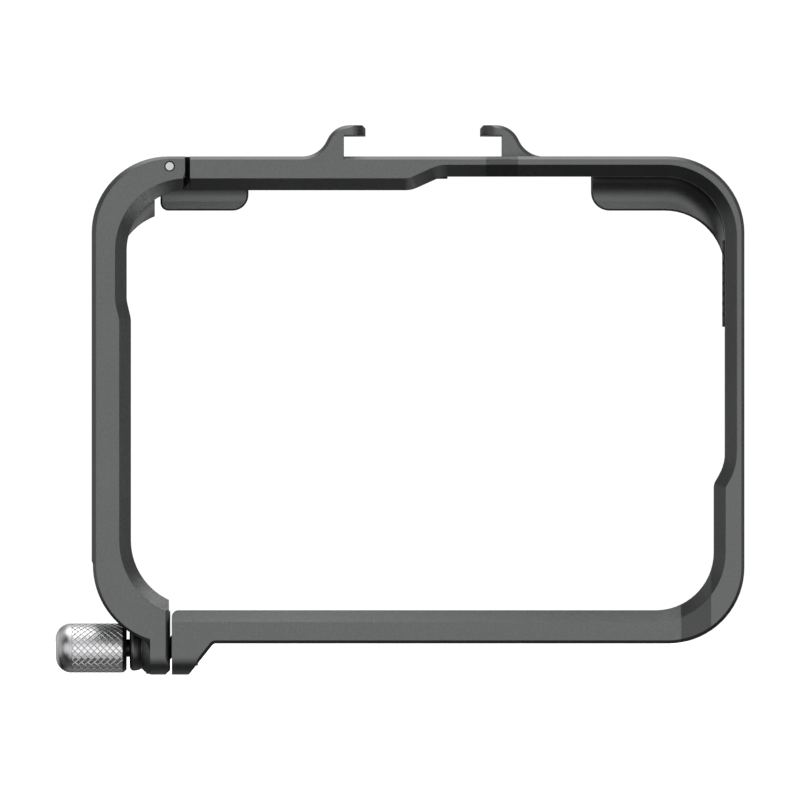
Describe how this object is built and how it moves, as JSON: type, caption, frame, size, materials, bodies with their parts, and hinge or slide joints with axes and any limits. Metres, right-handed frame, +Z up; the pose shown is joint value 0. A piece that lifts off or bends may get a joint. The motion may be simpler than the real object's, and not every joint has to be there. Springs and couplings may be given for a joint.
{
  "type": "camera cage",
  "caption": "Metal cage for a small action camera: swinging side arm on a hinge pin, knurled captive thumb screw, cold shoe on top and tripod thread in the floor.",
  "frame": {"origin": "mouth of the tripod thread, in the middle of the floor's underside", "axes": "+X to the right as seen from the front, +Y towards the back, +Z up; the front rim faces -Y"},
  "size_m": [0.0813, 0.0305, 0.0648],
  "materials": {
    "anodised_aluminium": "bead-blasted, hard anodised dark grey",
    "polished_steel": "turned and polished",
    "knurled_steel": "diamond knurled, domed end polished",
    "black_steel": "black oxide",
    "black_nylon": "moulded, matt",
    "white_nylon": "stamped sheet",
    "silicone": "soft, matt"
  },
  "bodies": {
    "cage_frame": {"main_frame": "anodised_aluminium", "lug_thread_insert": "polished_steel", "tripod_thread_insert": "polished_steel", "right_wall_pad": "silicone", "top_pad_front": "silicone", "top_pad_rear": "silicone", "floor_pad_front": "silicone", "floor_pad_rear": "silicone", "front_strip_top": "silicone", "front_strip_right": "silicone"},
    "swing_arm": {"side_arm": "anodised_aluminium", "hinge_pin": "polished_steel", "hinge_washer_front": "white_nylon", "hinge_washer_rear": "white_nylon", "arm_screw_bush": "polished_steel", "arm_pad": "silicone", "front_strip_arm": "silicone"},
    "screw_ring": {"knob_washer": "black_nylon"},
    "clamp_screw": {"thumb_knob": "knurled_steel", "thumb_screw": "black_steel"}
  },
  "joints": [
    {"name": "arm_hinge", "type": "hinge", "parent": "cage_frame", "child": "swing_arm", "pos_m": [-0.02929, 0, 0.0563], "axis": [0, 1, 0], "range_deg": [0, 100]},
    {"name": "thumb_screw_travel", "type": "slide", "parent": "swing_arm", "child": "screw_ring", "axis": [-1, 0, 0], "range_m": [0, 0.003]},
    {"name": "thumb_screw_turn", "type": "hinge", "parent": "screw_ring", "child": "clamp_screw", "pos_m": [-0.0347, 0, -0.00062], "axis": [-1, 0, 0], "range_deg": [0, 2163]}
  ],
  "couplings": [
    {"joint": "thumb_screw_turn", "follows": "thumb_screw_travel", "rad_per_m": 12566}
  ]
}
